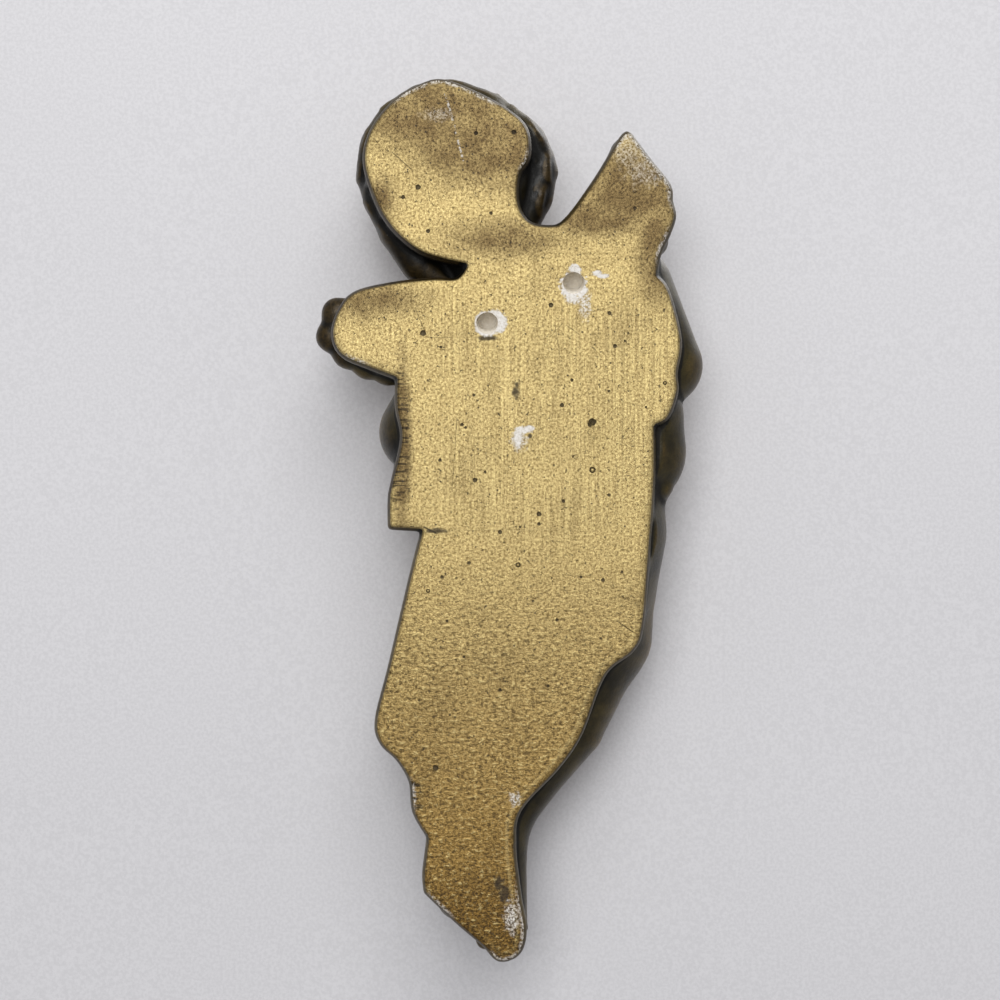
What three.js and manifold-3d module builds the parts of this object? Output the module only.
// Cherub wall plaque: one solid plaster casting, carved in front and flat behind.
// Millimetres, +Z up. The wall side is +Y, the figure faces -Y, and +X is to the viewer's right.
// The origin is on the flat back, halfway between the two nail holes that the plaque hangs from.
import * as THREE from 'three';
import { mergeVertices } from 'three/addons/utils/BufferGeometryUtils.js';
import Module from 'manifold-3d';

// Driving sizes
const flatBackHeight = 280;
const reliefDepth = 52;
const plateThickness = 8;
const edgeFlare = 1;
const edgeFlareDepth = 2.5;
const nailHoleDiameter = 7;
const nailHoleDepth = 11;
const nailHoleSpacing = 30.4;
const nailHoleLineAngle = 24.9;
const nailHoleRise = 14;

// The figure is drawn at one height and depth, and its pose and carving are shares of them.
const drawnHeight = 280;
const drawnDepth = 52;
const share = flatBackHeight / drawnHeight;
const depthShare = reliefDepth / drawnDepth;
const clayCell = 2.7 * share;
const fineCell = 1.7 * share;
const fineStretches = [[-3, 53], [30, 60], [12, 74]];
const figureTriangles = 8400;
const outlineFacet = 4.8 * share;
const rootDepth = 0.45 * plateThickness;

const wasm = await Module();
wasm.setup();

// Small vector helpers on [across, depth, up] triples
const plus = (a, b) => [a[0] + b[0], a[1] + b[1], a[2] + b[2]];
const minus = (a, b) => [a[0] - b[0], a[1] - b[1], a[2] - b[2]];
const times = (a, k) => [a[0] * k, a[1] * k, a[2] * k];
const dot = (a, b) => a[0] * b[0] + a[1] * b[1] + a[2] * b[2];
const cross = (a, b) => [
  a[1] * b[2] - a[2] * b[1],
  a[2] * b[0] - a[0] * b[2],
  a[0] * b[1] - a[1] * b[0],
];
const unit = (a) => times(a, 1 / Math.hypot(...a));
const mix = (a, b, t) => plus(times(a, 1 - t), times(b, t));
const radians = (degrees) => degrees * Math.PI / 180;

// A drawn point becomes a real one: depth grows with the relief, the rest with the height.
const at = (across, depth, up) => [across * share, depth * depthShare, up * share];

// Rows are the right, forward and up directions of something yawed, pitched and rolled.
function turned(yaw, pitch, roll) {
  const [y, p, r] = [yaw, pitch, roll].map(radians);
  const right = [Math.cos(y), Math.sin(y), 0];
  const ahead = [-Math.sin(y), Math.cos(y), 0];
  const up = [0, 0, 1];
  const forward = minus(times(ahead, Math.cos(p)), times(up, Math.sin(p)));
  const upward = plus(times(up, Math.cos(p)), times(ahead, Math.sin(p)));
  const rolled = (v) => [
    v[0] * Math.cos(r) + v[2] * Math.sin(r),
    v[1],
    v[2] * Math.cos(r) - v[0] * Math.sin(r),
  ];
  return [rolled(right), rolled(forward), rolled(upward)];
}

// A smooth curve through drawn points
function curve(points, count) {
  const vectors = points.map((p) => new THREE.Vector3(...p));
  const path = new THREE.CatmullRomCurve3(vectors, false, 'catmullrom', 0.5);
  return path.getPoints(count).map((v) => [v.x, v.y, v.z]);
}

// Forms of clay: each has a box that holds it and a distance that is below zero inside it.
const noTurn = turned(0, 0, 0);

function ball(centre, radii, axes = noTurn) {
  const middle = at(...centre);
  const size = radii.map((r) => r * share);
  const reach = Math.max(...size);
  const distance = (p) => {
    const d = minus(p, middle);
    const local = axes.map((axis, i) => dot(d, axis) / size[i]);
    const near = Math.hypot(...local);
    const slope = Math.hypot(...local.map((v, i) => v / size[i]));
    return near * (near - 1) / Math.max(slope, 1e-9);
  };
  return { low: middle.map((v) => v - reach), high: middle.map((v) => v + reach), distance };
}

function rope(points, radii) {
  const places = points.map((p) => at(...p));
  const sizes = radii.map((r) => r * share);
  const reach = Math.max(...sizes);
  const low = [0, 1, 2].map((i) => Math.min(...places.map((p) => p[i])) - reach);
  const high = [0, 1, 2].map((i) => Math.max(...places.map((p) => p[i])) + reach);
  const distance = (p) => {
    let best = Infinity;
    for (let i = 0; i + 1 < places.length; i += 1) {
      const along = minus(places[i + 1], places[i]);
      const away = minus(p, places[i]);
      const t = Math.min(1, Math.max(0, dot(away, along) / dot(along, along)));
      const gap = Math.hypot(...minus(away, times(along, t)));
      best = Math.min(best, gap - sizes[i] - (sizes[i + 1] - sizes[i]) * t);
    }
    return best;
  };
  return { low, high, distance };
}

// A rope pressed flat across its depth, such as a feather
function blade(points, radii, thin) {
  const middle = at(...points[0])[1];
  const swell = (p) => [p[0], middle + (p[1] - middle) / thin, p[2]];
  const round = rope(points, radii);
  const first = points[0][1];
  const flat = points.map(([across, depth, up]) => [across, first + (depth - first) / thin, up]);
  const swollen = rope(flat, radii);
  const distance = (p) => swollen.distance(swell(p)) * (0.4 + 0.6 * thin);
  return { low: round.low, high: round.high, distance };
}

// Forms are added to or cut from the clay one after another, each with a soft joint. The clay
// starts as a slab inside the plate's outline.
class Clay {
  constructor(outline) {
    this.outline = outline;
    this.slab = slabOf(outline);
    this.steps = [];
  }

  low(axis) {
    const rim = this.outline.map((p) => [p.x, 0, p.y][axis]);
    return Math.min(...rim, ...this.steps.map((s) => s.form.low[axis]));
  }

  high(axis) {
    const rim = this.outline.map((p) => [p.x, plateThickness, p.y][axis]);
    return Math.max(...rim, ...this.steps.map((s) => s.form.high[axis]));
  }

  add(form, blend = 3) {
    this.steps.push({ form, sign: 1, blend: blend * share });
  }

  cut(form, blend = 1.5) {
    this.steps.push({ form, sign: -1, blend: blend * share });
  }

  value(p) {
    let field = this.slab(p);
    for (const { form, sign, blend } of this.steps) {
      const reach = blend + 2 * clayCell;
      const beside = p.some((v, i) => v < form.low[i] - reach || v > form.high[i] + reach);
      if (beside) continue;
      const d = form.distance(p);
      const a = sign * field;
      const h = Math.max(blend - Math.abs(a - d), 0) / Math.max(blend, 1e-9);
      field = sign * (Math.min(a, d) - h * h * blend * 0.25);
    }
    return Math.max(field, rootDepth - p[1]);
  }
}

// Which of the 256 ways to fill a cell's corners give one simple sheet
const corners = [...Array(8).keys()].map((c) => [c & 1, (c >> 1) & 1, (c >> 2) & 1]);
const oneSheet = [...Array(256).keys()].map((mask) => [0, 1].every((side) => {
  const members = [...Array(8).keys()].filter((c) => ((mask >> c) & 1) === side);
  const reached = new Set(members.slice(0, 1));
  const waiting = [...reached];
  while (waiting.length) {
    const c = waiting.pop();
    for (const next of [c ^ 1, c ^ 2, c ^ 4]) {
      if (members.includes(next) && !reached.has(next)) {
        reached.add(next);
        waiting.push(next);
      }
    }
  }
  return reached.size === members.length;
}));

// Lines of the sampling grid along one axis: close together in a stretch with fine carving
function gridLines(from, to, fineFrom, fineTo) {
  const lines = [from];
  while (lines.at(-1) < to) {
    const here = lines.at(-1);
    const fine = here >= fineFrom * share && here < fineTo * share;
    lines.push(here + (fine ? fineCell : clayCell));
  }
  return lines;
}

// The skin of the clay: one vertex in each cell that the skin crosses, one quad on each crossed edge.
function skin(clay) {
  const margin = 2.3 * clayCell;
  const low = [0, 1, 2].map((axis) => clay.low(axis) - margin);
  const high = [0, 1, 2].map((axis) => clay.high(axis) + margin);
  low[1] = rootDepth - 1.6 * clayCell;
  const lines = fineStretches.map(([from, to], i) => gridLines(low[i], high[i], from, to));
  const count = lines.map((l) => l.length);
  const index = (i, j, k) => (i * count[1] + j) * count[2] + k;
  const place = (i, j, k) => [lines[0][i], lines[1][j], lines[2][k]];
  const values = new Float64Array(count[0] * count[1] * count[2]);
  for (let i = 0; i < count[0]; i += 1) {
    for (let j = 0; j < count[1]; j += 1) {
      for (let k = 0; k < count[2]; k += 1) {
        values[index(i, j, k)] = clay.value(place(i, j, k));
      }
    }
  }
  const cornerIndex = (i, j, k, c) => index(i + corners[c][0], j + corners[c][1], k + corners[c][2]);
  const maskOf = (i, j, k) => {
    let mask = 0;
    for (let c = 0; c < 8; c += 1) {
      if (values[cornerIndex(i, j, k, c)] < 0) mask |= 1 << c;
    }
    return mask;
  };
  const eachCell = (visit) => {
    for (let i = 0; i + 1 < count[0]; i += 1) {
      for (let j = 0; j + 1 < count[1]; j += 1) {
        for (let k = 0; k + 1 < count[2]; k += 1) visit(i, j, k);
      }
    }
  };
  // A cell that two sheets would cross is filled at its nearest empty corner.
  const untangle = () => {
    let filled = 0;
    eachCell((i, j, k) => {
      const mask = maskOf(i, j, k);
      if (oneSheet[mask]) return;
      const empty = [...Array(8).keys()].filter((c) => !((mask >> c) & 1));
      const places = empty.map((c) => cornerIndex(i, j, k, c));
      places.sort((a, b) => values[a] - values[b]);
      values[places[0]] = -0.05 * fineCell;
      filled += 1;
    });
    return filled;
  };
  while (untangle());
  const vertexOf = new Int32Array(values.length).fill(-1);
  const vertices = [];
  eachCell((i, j, k) => {
    const mask = maskOf(i, j, k);
    if (mask === 0 || mask === 255) return;
    let sum = [0, 0, 0];
    let crossings = 0;
    for (let c = 0; c < 8; c += 1) {
      for (const bit of [1, 2, 4]) {
        const other = c | bit;
        if (other === c || ((mask >> c) & 1) === ((mask >> other) & 1)) continue;
        const a = values[cornerIndex(i, j, k, c)];
        const b = values[cornerIndex(i, j, k, other)];
        sum = plus(sum, mix(corners[c], corners[other], a / (a - b)));
        crossings += 1;
      }
    }
    const cell = [place(i, j, k), place(i + 1, j + 1, k + 1)];
    let point = cell[0].map((v, axis) => v + (cell[1][axis] - v) * sum[axis] / crossings);
    for (let round = 0; round < 2; round += 1) point = settle(clay, point, cell);
    vertexOf[index(i, j, k)] = vertices.length / 3;
    vertices.push(...point);
  });
  const triangles = [];
  const quad = (a, b, c, d, flip) => {
    const [p, q, r, s] = [a, b, c, d].map((v) => vertices.slice(3 * v, 3 * v + 3));
    const shortFirst = Math.hypot(...minus(p, r)) <= Math.hypot(...minus(q, s));
    const pair = shortFirst ? [[a, b, c], [a, c, d]] : [[a, b, d], [b, c, d]];
    for (const [u, v, w] of pair) triangles.push(u, flip ? w : v, flip ? v : w);
  };
  for (let i = 1; i + 1 < count[0]; i += 1) {
    for (let j = 1; j + 1 < count[1]; j += 1) {
      for (let k = 1; k + 1 < count[2]; k += 1) {
        const here = values[index(i, j, k)] < 0;
        const cellVertex = (di, dj, dk) => vertexOf[index(i - di, j - dj, k - dk)];
        if (here !== values[index(i + 1, j, k)] < 0) {
          quad(cellVertex(0, 0, 0), cellVertex(0, 1, 0), cellVertex(0, 1, 1), cellVertex(0, 0, 1), here);
        }
        if (here !== values[index(i, j + 1, k)] < 0) {
          quad(cellVertex(0, 0, 0), cellVertex(0, 0, 1), cellVertex(1, 0, 1), cellVertex(1, 0, 0), here);
        }
        if (here !== values[index(i, j, k + 1)] < 0) {
          quad(cellVertex(0, 0, 0), cellVertex(1, 0, 0), cellVertex(1, 1, 0), cellVertex(0, 1, 0), here);
        }
      }
    }
  }
  return simpler(vertices, triangles, figureTriangles);
}

// Moves a vertex onto the clay's true surface without leaving its cell.
function settle(clay, point, [cellLow, cellHigh]) {
  const tiny = 0.05 * fineCell;
  const value = clay.value(point);
  const slope = [0, 1, 2].map((axis) => {
    const ahead = [...point];
    ahead[axis] += tiny;
    return (clay.value(ahead) - value) / tiny;
  });
  const steep = Math.max(dot(slope, slope), 0.25);
  const moved = minus(point, times(slope, value / steep));
  return moved.map((v, axis) => Math.min(cellHigh[axis] - tiny, Math.max(cellLow[axis] + tiny, v)));
}

// Depth runs away from the wall, so the real Y is the depth with its sign turned.
function geometryOf(vertices, triangles) {
  const positions = vertices.map((v, i) => (i % 3 === 1 ? -v : v));
  const geometry = new THREE.BufferGeometry();
  geometry.setAttribute('position', new THREE.Float32BufferAttribute(positions, 3));
  geometry.setIndex(triangles);
  return geometry;
}

// Collapses the edges that matter least until the skin has few enough triangles. Each vertex
// keeps the sum of its faces' squared distances, so broad smooth places lose the most.
function simpler(vertices, triangles, wanted) {
  const points = [];
  for (let i = 0; i < vertices.length; i += 3) points.push(vertices.slice(i, i + 3));
  let faces = [];
  for (let i = 0; i < triangles.length; i += 3) faces.push(triangles.slice(i, i + 3));
  const errors = points.map(() => new Float64Array(10));
  for (const face of faces) {
    const [a, b, c] = face.map((v) => points[v]);
    const normal = cross(minus(b, a), minus(c, a));
    const area = Math.hypot(...normal);
    const [x, y, z] = times(normal, 1 / Math.max(area, 1e-12));
    const w = -dot([x, y, z], a);
    const terms = [x * x, x * y, x * z, x * w, y * y, y * z, y * w, z * z, z * w, w * w];
    for (const v of face) terms.forEach((term, i) => { errors[v][i] += term * area; });
  }
  const errorAt = (e, [x, y, z]) => (
    e[0] * x * x + e[4] * y * y + e[7] * z * z + e[9]
    + 2 * (e[1] * x * y + e[2] * x * z + e[3] * x + e[5] * y * z + e[6] * y + e[8] * z)
  );
  while (faces.length > wanted) {
    const around = points.map(() => []);
    faces.forEach((face, f) => face.forEach((v) => around[v].push(f)));
    const edges = [];
    faces.forEach((face) => {
      for (let i = 0; i < 3; i += 1) {
        const [a, b] = [face[i], face[(i + 1) % 3]];
        if (a > b) continue;
        const sum = errors[a].map((v, n) => v + errors[b][n]);
        const choices = [mix(points[a], points[b], 0.5), points[a], points[b]];
        const best = lowest(sum);
        const length = Math.hypot(...minus(points[a], points[b]));
        if (best && Math.hypot(...minus(best, choices[0])) < length) choices.push(best);
        const costs = choices.map((choice) => errorAt(sum, choice));
        const cost = Math.min(...costs);
        edges.push({ a, b, sum, place: choices[costs.indexOf(cost)], cost: cost + 1e-4 * length ** 4 });
      }
    });
    edges.sort((left, right) => left.cost - right.cost);
    const busy = new Uint8Array(points.length);
    const gone = new Map();
    let left = faces.length - wanted;
    for (const { a, b, sum, place } of edges.slice(0, Math.ceil(edges.length / 3))) {
      if (left <= 0) break;
      if (busy[a] || busy[b]) continue;
      const near = new Set([...around[a], ...around[b]]);
      const shared = around[a].filter((f) => faces[f].includes(b));
      const ringOf = (v) => new Set(around[v].flatMap((f) => faces[f]));
      const [ringA, ringB] = [ringOf(a), ringOf(b)];
      const common = [...ringA].filter((v) => ringB.has(v) && v !== a && v !== b);
      if (common.length !== 2 || shared.length !== 2) continue;
      const folds = [...near].some((f) => {
        if (shared.includes(f)) return false;
        const before = faces[f].map((v) => points[v]);
        const after = faces[f].map((v) => (v === a || v === b ? place : points[v]));
        const [old, now] = [before, after].map(([p, q, r]) => cross(minus(q, p), minus(r, p)));
        const longest = Math.max(...after.map((p, i) => Math.hypot(...minus(p, after[(i + 1) % 3]))));
        const sliver = Math.hypot(...now) < 0.12 * longest ** 2;
        return dot(unit(old), unit(now)) < 0.55 || sliver;
      });
      if (folds) continue;
      points[a] = place;
      errors[a] = sum;
      gone.set(b, a);
      for (const v of [...ringA, ...ringB]) busy[v] = 1;
      left -= 2;
    }
    if (!gone.size) break;
    faces = faces.map((face) => face.map((v) => gone.get(v) ?? v));
    faces = faces.filter(([a, b, c]) => a !== b && b !== c && c !== a);
  }
  return geometryOf(points.flat(), faces.flat());
}

// Where a sum of squared distances to planes is lowest, if it is lowest in one place
function lowest(e) {
  const rows = [[e[0], e[1], e[2]], [e[1], e[4], e[5]], [e[2], e[5], e[7]]];
  const right = [-e[3], -e[6], -e[8]];
  const size = dot(rows[0], cross(rows[1], rows[2]));
  if (Math.abs(size) < 1e-3 * (e[0] + e[4] + e[7]) ** 3) return null;
  const solve = (axis) => {
    const changed = rows.map((row, i) => row.map((v, n) => (n === axis ? right[i] : v)));
    return dot(changed[0], cross(changed[1], changed[2])) / size;
  };
  return [solve(0), solve(1), solve(2)];
}

// A closed geometry becomes a solid that can be joined and cut; one that is inside out is turned.
function solid(geometry) {
  const plain = geometry.clone();
  for (const name of ['normal', 'uv']) plain.deleteAttribute(name);
  const merged = mergeVertices(plain, 1e-4);
  const vertProperties = new Float32Array(merged.attributes.position.array);
  const index = [...merged.index.array];
  const whole = index.map((v, i) => {
    const [a, b, c] = index.slice(i - i % 3, i - i % 3 + 3);
    return a !== b && b !== c && c !== a;
  });
  const triVerts = new Uint32Array(index.filter((v, i) => whole[i]));
  const made = new wasm.Manifold(new wasm.Mesh({ numProp: 3, vertProperties, triVerts }));
  if (made.volume() > 0) return made;
  const turnedOver = triVerts.map((v, i) => triVerts[i % 3 === 0 ? i : i + (i % 3 === 1 ? 1 : -1)]);
  return new wasm.Manifold(new wasm.Mesh({ numProp: 3, vertProperties, triVerts: turnedOver }));
}

// The outline of the flat back in drawn (across, up) points. Each stretch is a smooth curve, and
// the next one starts at its end, with a corner between them.
const outlineStretches = {
  headAndWingTop: [
    [19.4, 12.6], [27.7, 14.4], [35.6, 17.2], [43.5, 23.9], [49, 33], [52.6, 45.5], [50.2, 55.5],
    [42.9, 64.6], [34.4, 69.5], [27.7, 70.7], [17.3, 66.8], [7, 61], [1.6, 55.5], [0.8, 47],
    [4, 40.9], [4.3, 31.8], [0.9, 25.8], [-5.8, 24.2], [-11.3, 26.3], [-20.3, 38.3],
    [-29.3, 52.7], [-31.6, 53.9],
  ],
  upperFeathers: [[-31.6, 53.9], [-37.8, 45.6], [-43.9, 37.8], [-44.5, 33]],
  lowerFeathers: [[-44.5, 33], [-45.6, 28], [-43.9, 22.5], [-40.8, 15.6], [-39.7, 8.6]],
  elbow: [
    [-39.7, 8.6], [-43.5, 4], [-47.4, -11.5], [-46.1, -22.1], [-46.3, -28], [-43.4, -36.1],
    [-39, -38.6],
  ],
  leg: [
    [-39, -38.6], [-39, -55], [-37.4, -78.5], [-35.3, -102.4], [-32.3, -110.3], [-23.2, -118.2],
    [-15.7, -137.1], [-8.4, -147.9], [3.7, -161.4], [5.5, -173], [3.8, -189.1], [2.1, -199.8],
    [4, -207], [9.9, -209.1], [14.8, -204.2], [23.5, -196.8], [33.2, -187.6],
  ],
  heel: [[33.2, -187.6], [33.6, -182], [32.8, -175], [32.2, -170]],
  hem: [
    [32.2, -170], [36.8, -162], [37.9, -152.5], [42, -145.3], [47.4, -139.8], [48.7, -132.6],
    [44.5, -115.6], [38.1, -88.2], [33.9, -71.8],
  ],
  tailEnd: [[33.9, -71.8], [44.6, -71.2]],
  tailSide: [[44.6, -71.2], [44.6, -62], [43.5, -56.2], [40.7, -43], [42.3, -33], [42.2, -23.4]],
  rightWing: [
    [42.2, -23.4], [52, -19.7], [60, -16], [62.7, -10], [60.8, -2.6], [55.6, 3.2], [42.9, 6.2],
    [30.7, 7.4], [23.2, 7.6], [19.4, 12.6],
  ],
};

function outlinePoints() {
  const points = [];
  for (const stretch of Object.values(outlineStretches)) {
    const vectors = stretch.map(([x, z]) => new THREE.Vector2(x * share, z * share));
    const spline = new THREE.SplineCurve(vectors);
    const pieces = Math.max(1, Math.round(spline.getLength() / outlineFacet));
    const spaced = pieces > 1 ? spline.getSpacedPoints(pieces) : vectors;
    points.push(...spaced.slice(0, -1));
  }
  return points;
}

// How far a place is from the outline, below zero inside it
function outlineDistance(points, x, z) {
  let nearest = Infinity;
  let inside = false;
  for (let i = 0, j = points.length - 1; i < points.length; j = i, i += 1) {
    const [a, b] = [points[j], points[i]];
    const [ex, ez] = [b.x - a.x, b.y - a.y];
    const [px, pz] = [x - a.x, z - a.y];
    const t = Math.min(1, Math.max(0, (px * ex + pz * ez) / (ex * ex + ez * ez)));
    nearest = Math.min(nearest, (px - ex * t) ** 2 + (pz - ez * t) ** 2);
    if ((a.y > z) !== (b.y > z) && px < (pz / ez) * ex) inside = !inside;
  }
  return Math.sqrt(nearest) * (inside ? -1 : 1);
}

// The clay's own slab lies just inside the plate's edge and just proud of its front.
function slabOf(points) {
  const inset = 1.2;
  const proud = 0.5;
  const rounding = 3;
  const wellClear = 4 * clayCell;
  return ([x, depth, z]) => {
    const above = depth - plateThickness - proud;
    if (above > wellClear) return above;
    const edge = outlineDistance(points, x, z) + inset;
    const h = Math.max(rounding - Math.abs(edge - above), 0) / rounding;
    return Math.max(edge, above) + h * h * rounding * 0.25;
  };
}

// The plate: the exact outline at the wall, flaring a little just in front of it.
function plate() {
  const shape = new THREE.Shape(outlinePoints());
  const geometry = new THREE.ExtrudeGeometry(shape, {
    depth: plateThickness - 2 * edgeFlareDepth,
    bevelThickness: edgeFlareDepth,
    bevelSize: edgeFlare,
    bevelSegments: 1,
    steps: 1,
  });
  geometry.translate(0, 0, edgeFlareDepth);
  geometry.rotateX(Math.PI / 2);
  return solid(geometry);
}

// Chest, belly, hips, neck and shoulders, leaning with the upper body
function torso(clay) {
  const lean = turned(0, 0, 22);
  clay.add(ball([-3, 16, -12], [27, 17, 22], lean), 8);
  clay.add(ball([-5, 20, -46], [27, 20, 25], turned(0, 0, 8)), 12);
  clay.add(ball([-7, 16, -73], [31, 17, 20]), 10);
  clay.add(ball([-37, 16, -46.5], [14, 13, 17]), 8);
  clay.add(ball([-13, 25, -7], [11, 8, 9], lean), 6);
  clay.add(ball([9, 25, -16], [11, 8, 9], lean), 6);
  clay.add(rope([[19, 17, 24], [3, 14, 2]], [12.5, 15]), 6);
  clay.cut(ball([-3, 40.5, -53], [2.2, 3, 2.2]), 2.5);
  clay.add(ball([18, 20, -50], [11, 10, 10]), 5);
  // The flank is filled behind the forearm, as a mould that has to come off needs.
  clay.add(ball([-31, 11, -23], [10, 9, 11]), 4);
  clay.add(ball([-39.5, 14, -34], [10, 11, 10]), 5);
}

function arms(clay) {
  clay.add(ball([-30, 15, 4], [12.5, 12.5, 12.5]), 6);
  clay.add(ball([24, 15, -13], [12.5, 12.5, 12.5]), 6);
  clay.add(rope([[-34.5, 15, 7], [-44.5, 17.5, -18]], [12, 11.8]), 4);
  clay.add(rope([[25, 15, -14], [35.5, 18, -40]], [11.5, 13]), 4);
  clay.add(rope([[-44, 18, -20], [-31, 26, -25], [-9, 34, -22]], [11.3, 10.5, 6.6]), 3);
  clay.add(rope([[35.5, 18, -41], [27, 27, -40], [13, 35, -28]], [13, 11, 6.8]), 3);
}

function legs(clay) {
  clay.add(rope([[-23, 19, -74], [-22.5, 25, -107]], [21.5, 17.3]), 8);
  const shin = [[-21.5, 25, -108], [-12, 22, -136], [-1, 19, -151], [9, 16, -168]];
  clay.add(rope(shin, [17.3, 13, 11, 8.3]), 5);
  clay.add(rope([[12, 16, -76], [24, 19, -118]], [20, 16]), 8);
  clay.add(rope([[24, 18, -118], [25, 15, -142], [24, 12, -165]], [15, 12.5, 8]), 4);
  clay.add(rope([[9, 16, -168], [9, 15, -182], [8.5, 13, -196]], [8.6, 8, 7.6]), 4);
  clay.add(rope([[24, 12, -165], [24, 11, -178], [23, 9, -191]], [8.2, 8, 7]), 4);
}

// The cloth is rolled round the hips, knotted at the side and falls in folds over one leg.
const knot = [26, 30, -60];

function waistRoll(clay) {
  const rolls = [[4, -3], [-2, 0], [-8, -2]];
  for (const [rise, out] of rolls) {
    const path = curve([
      [-42, 12, -50 + rise], [-35, 24 + out, -56 + rise], [-14, 38 + out, -65 + rise],
      [8, 39 + out, -65 + rise], knot,
    ], 8);
    clay.add(rope(path, path.map((p, i) => 5.4 - 0.25 * Math.abs(i - 4))), 1.5);
  }
  clay.add(ball(knot, [8, 7, 7]), 3);
}

const hemPoints = [
  [-2, 33, -120], [8, 33, -134], [18, 29, -147], [27, 23, -150], [34, 15, -147.5], [42, 8, -136],
];

function drapery(clay) {
  hemPoints.forEach((end, i) => {
    const bow = 5.5 * Math.sin(Math.PI * (i + 1) / (hemPoints.length + 1));
    const middle = plus(mix(knot, end, 0.5), [2, bow, 2]);
    const path = curve([knot, middle, end], 6);
    clay.add(rope(path, path.map((p, n) => 3.6 + 0.42 * n)), 3.2);
  });
}

function tailFolds(clay) {
  for (let i = 0; i < 4; i += 1) {
    const x = 24 + 5.6 * i;
    const top = plus(knot, [2, -4, 0]);
    const path = curve([top, [x, 16 - i, -62 + 3 * i], [x + 0.6, 12 - i, -69]], 4);
    clay.add(rope(path, path.map((p, n) => 4 - 0.2 * n)), 2);
  }
}

// Head: a calm child's face, turned a little to the viewer's left and leaning with the body
const headCentre = [24, 20, 42];
const headTurn = turned(14, 4, 20);

const onHead = (right, forward, up) => plus(headCentre, plus(
  times(headTurn[0], right),
  plus(times(headTurn[1], forward), times(headTurn[2], up)),
));

function skull(clay) {
  const part = (place, radii, blend) => clay.add(ball(onHead(...place), radii, headTurn), blend);
  part([0, 0, 0], [27, 24.5, 27], 4);
  part([0, 6, -8], [20, 17, 17.5], 5);
  part([0, 7, 9], [20, 17.5, 16], 5);
  part([0, 15.5, -20], [6, 5, 5], 5);
  part([0, 8, -20], [11, 10, 8], 6);
  for (const side of [-1, 1]) part([10.5 * side, 14, -9], [9, 8.5, 8.5], 5);
}

function face(clay) {
  const part = (place, radii, blend) => clay.add(ball(onHead(...place), radii, headTurn), blend);
  for (const side of [-1, 1]) {
    clay.cut(ball(onHead(8.6 * side, 27.5, 1.5), [5.6, 7, 4.6], headTurn), 3);
    part([8.4 * side, 19, 1.2], [5, 5, 4.6], 1);
    const brow = [[3.6, 24.2, 8], [8.5, 23.6, 9], [13.5, 18.6, 6.6]].map(
      ([right, forward, up]) => onHead(right * side, forward, up),
    );
    clay.add(rope(brow, [1.7, 2, 1.3]), 2.5);
    clay.cut(ball(onHead(6.4 * side, 25, -11.6), [1.5, 1.8, 1.4], headTurn), 1.6);
  }
  const nose = [onHead(0, 22.8, 5), onHead(0, 25.6, -1.5), onHead(0, 28, -5)];
  clay.add(rope(nose, [2.5, 2.8, 3.6]), 2);
  part([0, 22.4, -10.6], [5.6, 4.4, 2.2], 1.2);
  part([0, 22, -14], [4.6, 4.2, 2.2], 1.2);
  part([0, 20.5, -19], [5, 4.6, 4], 2.5);
}

// Hair: rows of curls behind the face, each a rope wound in towards its own middle
const curlRows = [
  { away: 50, count: 5, start: 42, stop: 138, size: 5.6 },
  { away: 66, count: 9, start: -12, stop: 192, size: 6.4 },
  { away: 90, count: 11, start: -28, stop: 208, size: 6.8 },
];
const rimCurls = {
  centre: [24.6, 14, 42.5], across: 28.6, up: 28, count: 13, start: -42, stop: 218, size: 6.6,
};
// Where that ring of curls stands out further than an ellipse, or less far
const rimSwells = [
  { at: 122, by: -0.1, width: 28 }, { at: -22, by: -0.075, width: 26 },
  { at: 166, by: 0.045, width: 16 },
];
const rollInset = 1.8;
const rollRadius = 5.8;

function hair(clay) {
  for (const { away, count, start, stop, size } of curlRows) {
    for (let i = 0; i < count; i += 1) {
      const round = radians(start + (stop - start) * i / (count - 1));
      const tilt = radians(away);
      const out = [Math.sin(tilt) * Math.cos(round), Math.cos(tilt), Math.sin(tilt) * Math.sin(round)];
      const centre = onHead(27 * out[0], 24.5 * out[1], 27.5 * out[2]);
      curl(clay, centre, minus(onHead(...out), headCentre), round, size, i % 2 ? 1 : -1);
    }
  }
  // The last row stands out round the back of the head, beyond the flat of the plate, on a thick
  // roll of hair.
  const { centre, across, up, count, start, stop, size } = rimCurls;
  const roll = [];
  const bump = ({ at, by, width }, degrees) => by * Math.exp(-(((degrees - at) / width) ** 2));
  for (let i = 0; i < count; i += 1) {
    const degrees = start + (stop - start) * i / (count - 1);
    const round = radians(degrees);
    const out = [Math.cos(round), 0, Math.sin(round)];
    const swelled = rimSwells.reduce((sum, swell) => sum + bump(swell, degrees), 1);
    const place = plus(centre, times([across * out[0], 0, up * out[2]], swelled));
    curl(clay, place, out, round, size, i % 2 ? 1 : -1);
    roll.push(minus(place, times(out, rollInset)));
  }
  clay.add(rope(curve(roll, 2 * count), Array(2 * count + 1).fill(rollRadius)), 1.5);
}

// Locks at the nape fill the gap between the head and the wing below it.
function nape(clay) {
  clay.add(rope([[42.2, 12, 23.2], [36.2, 14, 14.2], [29, 15, 8.5]], [6, 6, 5]), 2);
  clay.add(rope([[36, 22, 18], [33, 21, 12], [27, 20, 8]], [5, 5, 4]), 2);
}

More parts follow.
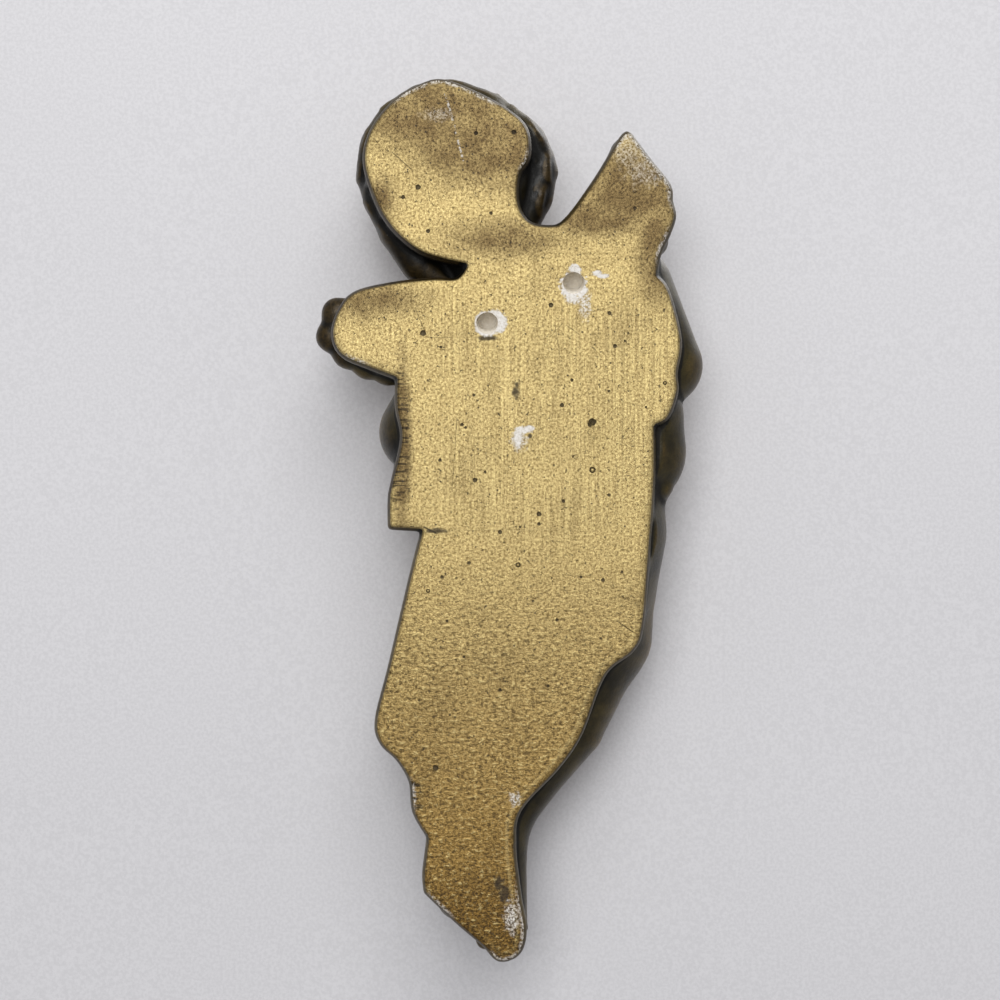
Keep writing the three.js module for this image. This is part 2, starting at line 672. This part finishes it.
function curl(clay, centre, normal, round, size, hand) {
  const upright = Math.abs(normal[2]) > 0.95 ? [1, 0, 0] : [0, 0, 1];
  const side = unit(cross(normal, upright));
  const over = cross(side, normal);
  const turns = 1.3;
  const steps = 9;
  const path = [];
  for (let n = 0; n <= steps; n += 1) {
    const t = n / steps;
    const reach = size * 0.95 * (1 - 0.82 * t);
    const angle = 2 * round + hand * 2 * Math.PI * turns * t;
    const flat = plus(times(side, reach * Math.cos(angle)), times(over, reach * Math.sin(angle)));
    path.push(plus(centre, plus(flat, times(normal, 4 * t - 1))));
  }
  const bed = 0.8 * size;
  clay.add(ball(minus(centre, times(normal, 1.5)), [bed, bed, bed]), 1.5);
  clay.add(rope(path, path.map((p, n) => size * (0.36 - 0.08 * n / steps))), 0.6);
}

// Hands pressed together below the chin: a palm and four fingers on each side
function hands(clay) {
  clay.add(rope([[3, 38, -16], [9, 41, -3]], [4, 2.4]), 1);
  const sides = [{ side: -1, wrist: [-9, 34, -22] }, { side: 1, wrist: [13, 35, -28] }];
  const fingers = [-1, 0.6, -0.4, -3.4];
  for (const { side, wrist } of sides) {
    const palm = [2 + 2.2 * side, 37.5, -17 - 1.2 * side];
    clay.add(rope([wrist, palm], [6.6, 6]), 2.5);
    fingers.forEach((longer, i) => {
      const base = plus(palm, [0.4 * side, -5 + 3.4 * i, 2 - 0.5 * i]);
      const tip = [9.5 + 2 * side, 39.2 + 2.9 * i, 1 + longer];
      clay.add(rope([base, mix(base, tip, 0.5), tip], [2.7, 2.5, 2.1]), 0.6);
    });
  }
}

const toeSpread = [0, 0.2, 0.8, 2, 4];

function toes(clay) {
  toeSpread.forEach((shorter, i) => {
    const size = i ? 2.9 - 0.28 * i : 3.2;
    const back = [14 - 2.9 * i, 14 - 0.5 * i, -198.2 + 0.2 * i];
    const tip = [14.4 - 3 * i, 14 - 0.4 * i, -205.6 + shorter];
    clay.add(rope([back, tip], [0.75 * size, size]), 0.8);
    const farBack = [18 + 2.9 * i, 9, -195.5 + 2.4 * i];
    const farTip = [19 + 3.1 * i, 9, -198.8 + 3 * i];
    clay.add(rope([farBack, farTip], [0.7 * size, 0.9 * size]), 0.8);
  });
}

// Wings: rows of rounded feathers, the long ones at the wall and shorter ones over them
const wingRows = [
  {
    root: [-14, 7.5, 10], fan: [-2, 0, -1], width: 5, thin: 0.75,
    tips: [
      [-30.6, 6, 48.5], [-36, 6.5, 41.5], [-40, 7, 35.5], [-41, 7.5, 28], [-39.5, 8, 20.5],
      [-36.5, 8.5, 14],
    ],
  },
  {
    root: [-12, 10, 12], fan: [-2, 0, -1], width: 4.6, thin: 0.7,
    tips: [[-26, 12, 39], [-32, 12, 33], [-35.5, 12, 26], [-36, 12, 19], [-34.5, 12, 13]],
  },
  {
    root: [-10, 12, 10], fan: [-2, 0, -1], width: 4.2, thin: 0.7,
    tips: [[-19.5, 14.5, 30], [-24.5, 15, 26], [-27.5, 15.2, 20.5], [-28.5, 15.5, 15]],
  },
  {
    root: [28, 9, -2], fan: [0, 0, -1], width: 5, thin: 0.8,
    tips: [
      [62.5, 13, -2], [64.5, 14, -9.5], [59, 13, -15], [52.5, 12, -18.5], [46, 11, -20.5],
      [39, 11, -21.5],
    ],
  },
  {
    root: [25, 12, -1], fan: [0, 0, -1], width: 4.4, thin: 0.75,
    tips: [[54, 17, 0.5], [53, 17.5, -5.5], [49, 17, -11], [44, 16.5, -14.5], [38.5, 16, -16]],
  },
];

function wings(clay) {
  for (const { root, fan, width, thin, tips } of wingRows) {
    tips.forEach((tip, i) => {
      const start = plus(root, times(fan, i));
      clay.add(blade([start, tip], [0.65 * width, width], thin), 1);
    });
  }
  // A band of down behind the far wing's long feathers fills the gaps between their tips.
  const { tips, width } = wingRows[3];
  clay.add(rope(tips, tips.map(() => 0.8 * width)), 2);
}

// Two blind nail holes, drilled slanting upward into the plaster from the flat back
function nailHoles() {
  return [-1, 1].map((side) => {
    const angle = radians(nailHoleLineAngle);
    const reach = 2 * nailHoleDepth;
    const hole = new THREE.CylinderGeometry(nailHoleDiameter / 2, nailHoleDiameter / 2, reach, 16);
    hole.rotateX(-radians(nailHoleRise));
    const x = side * Math.cos(angle) * nailHoleSpacing / 2;
    const z = -side * Math.sin(angle) * nailHoleSpacing / 2;
    hole.translate(x, 0, z);
    return solid(hole);
  });
}

function plaque() {
  const clay = new Clay(outlinePoints());
  const carving = [
    torso, arms, legs, toes, waistRoll, drapery, tailFolds, wings, skull, face, nape, hair, hands,
  ];
  for (const carve of carving) carve(clay);
  const joined = plate().add(solid(skin(clay)));
  const cut = nailHoles().reduce((whole, hole) => whole.subtract(hole), joined);
  const wall = new THREE.BoxGeometry(4 * flatBackHeight, 2 * reliefDepth, 4 * flatBackHeight);
  wall.translate(0, reliefDepth, 0);
  return cut.subtract(solid(wall));
}

// Only the outer skin is kept: plaster fills the pockets that the joined forms close off.
function outerSkin(made) {
  const { vertProperties, triVerts } = made.getMesh();
  const group = [...Array(vertProperties.length / 3).keys()];
  const rootOf = (v) => {
    let root = v;
    while (group[root] !== root) root = group[root];
    group[v] = root;
    return root;
  };
  for (let i = 0; i < triVerts.length; i += 3) {
    group[rootOf(triVerts[i + 1])] = rootOf(triVerts[i]);
    group[rootOf(triVerts[i + 2])] = rootOf(triVerts[i]);
  }
  const sizes = new Map();
  triVerts.forEach((v) => sizes.set(rootOf(v), (sizes.get(rootOf(v)) ?? 0) + 1));
  const outer = [...sizes].sort((a, b) => b[1] - a[1])[0][0];
  const geometry = new THREE.BufferGeometry();
  geometry.setAttribute('position', new THREE.Float32BufferAttribute(vertProperties, 3));
  geometry.setIndex([...triVerts].filter((v) => rootOf(v) === outer));
  return geometry;
}

const plaster = new THREE.MeshStandardMaterial({ color: 0xb89c60, roughness: 0.5, metalness: 0.35 });
const casting = new THREE.Mesh(outerSkin(plaque()), plaster);
casting.name = 'cherub_plaque';

const model = new THREE.Group();
model.add(casting);

export default model;
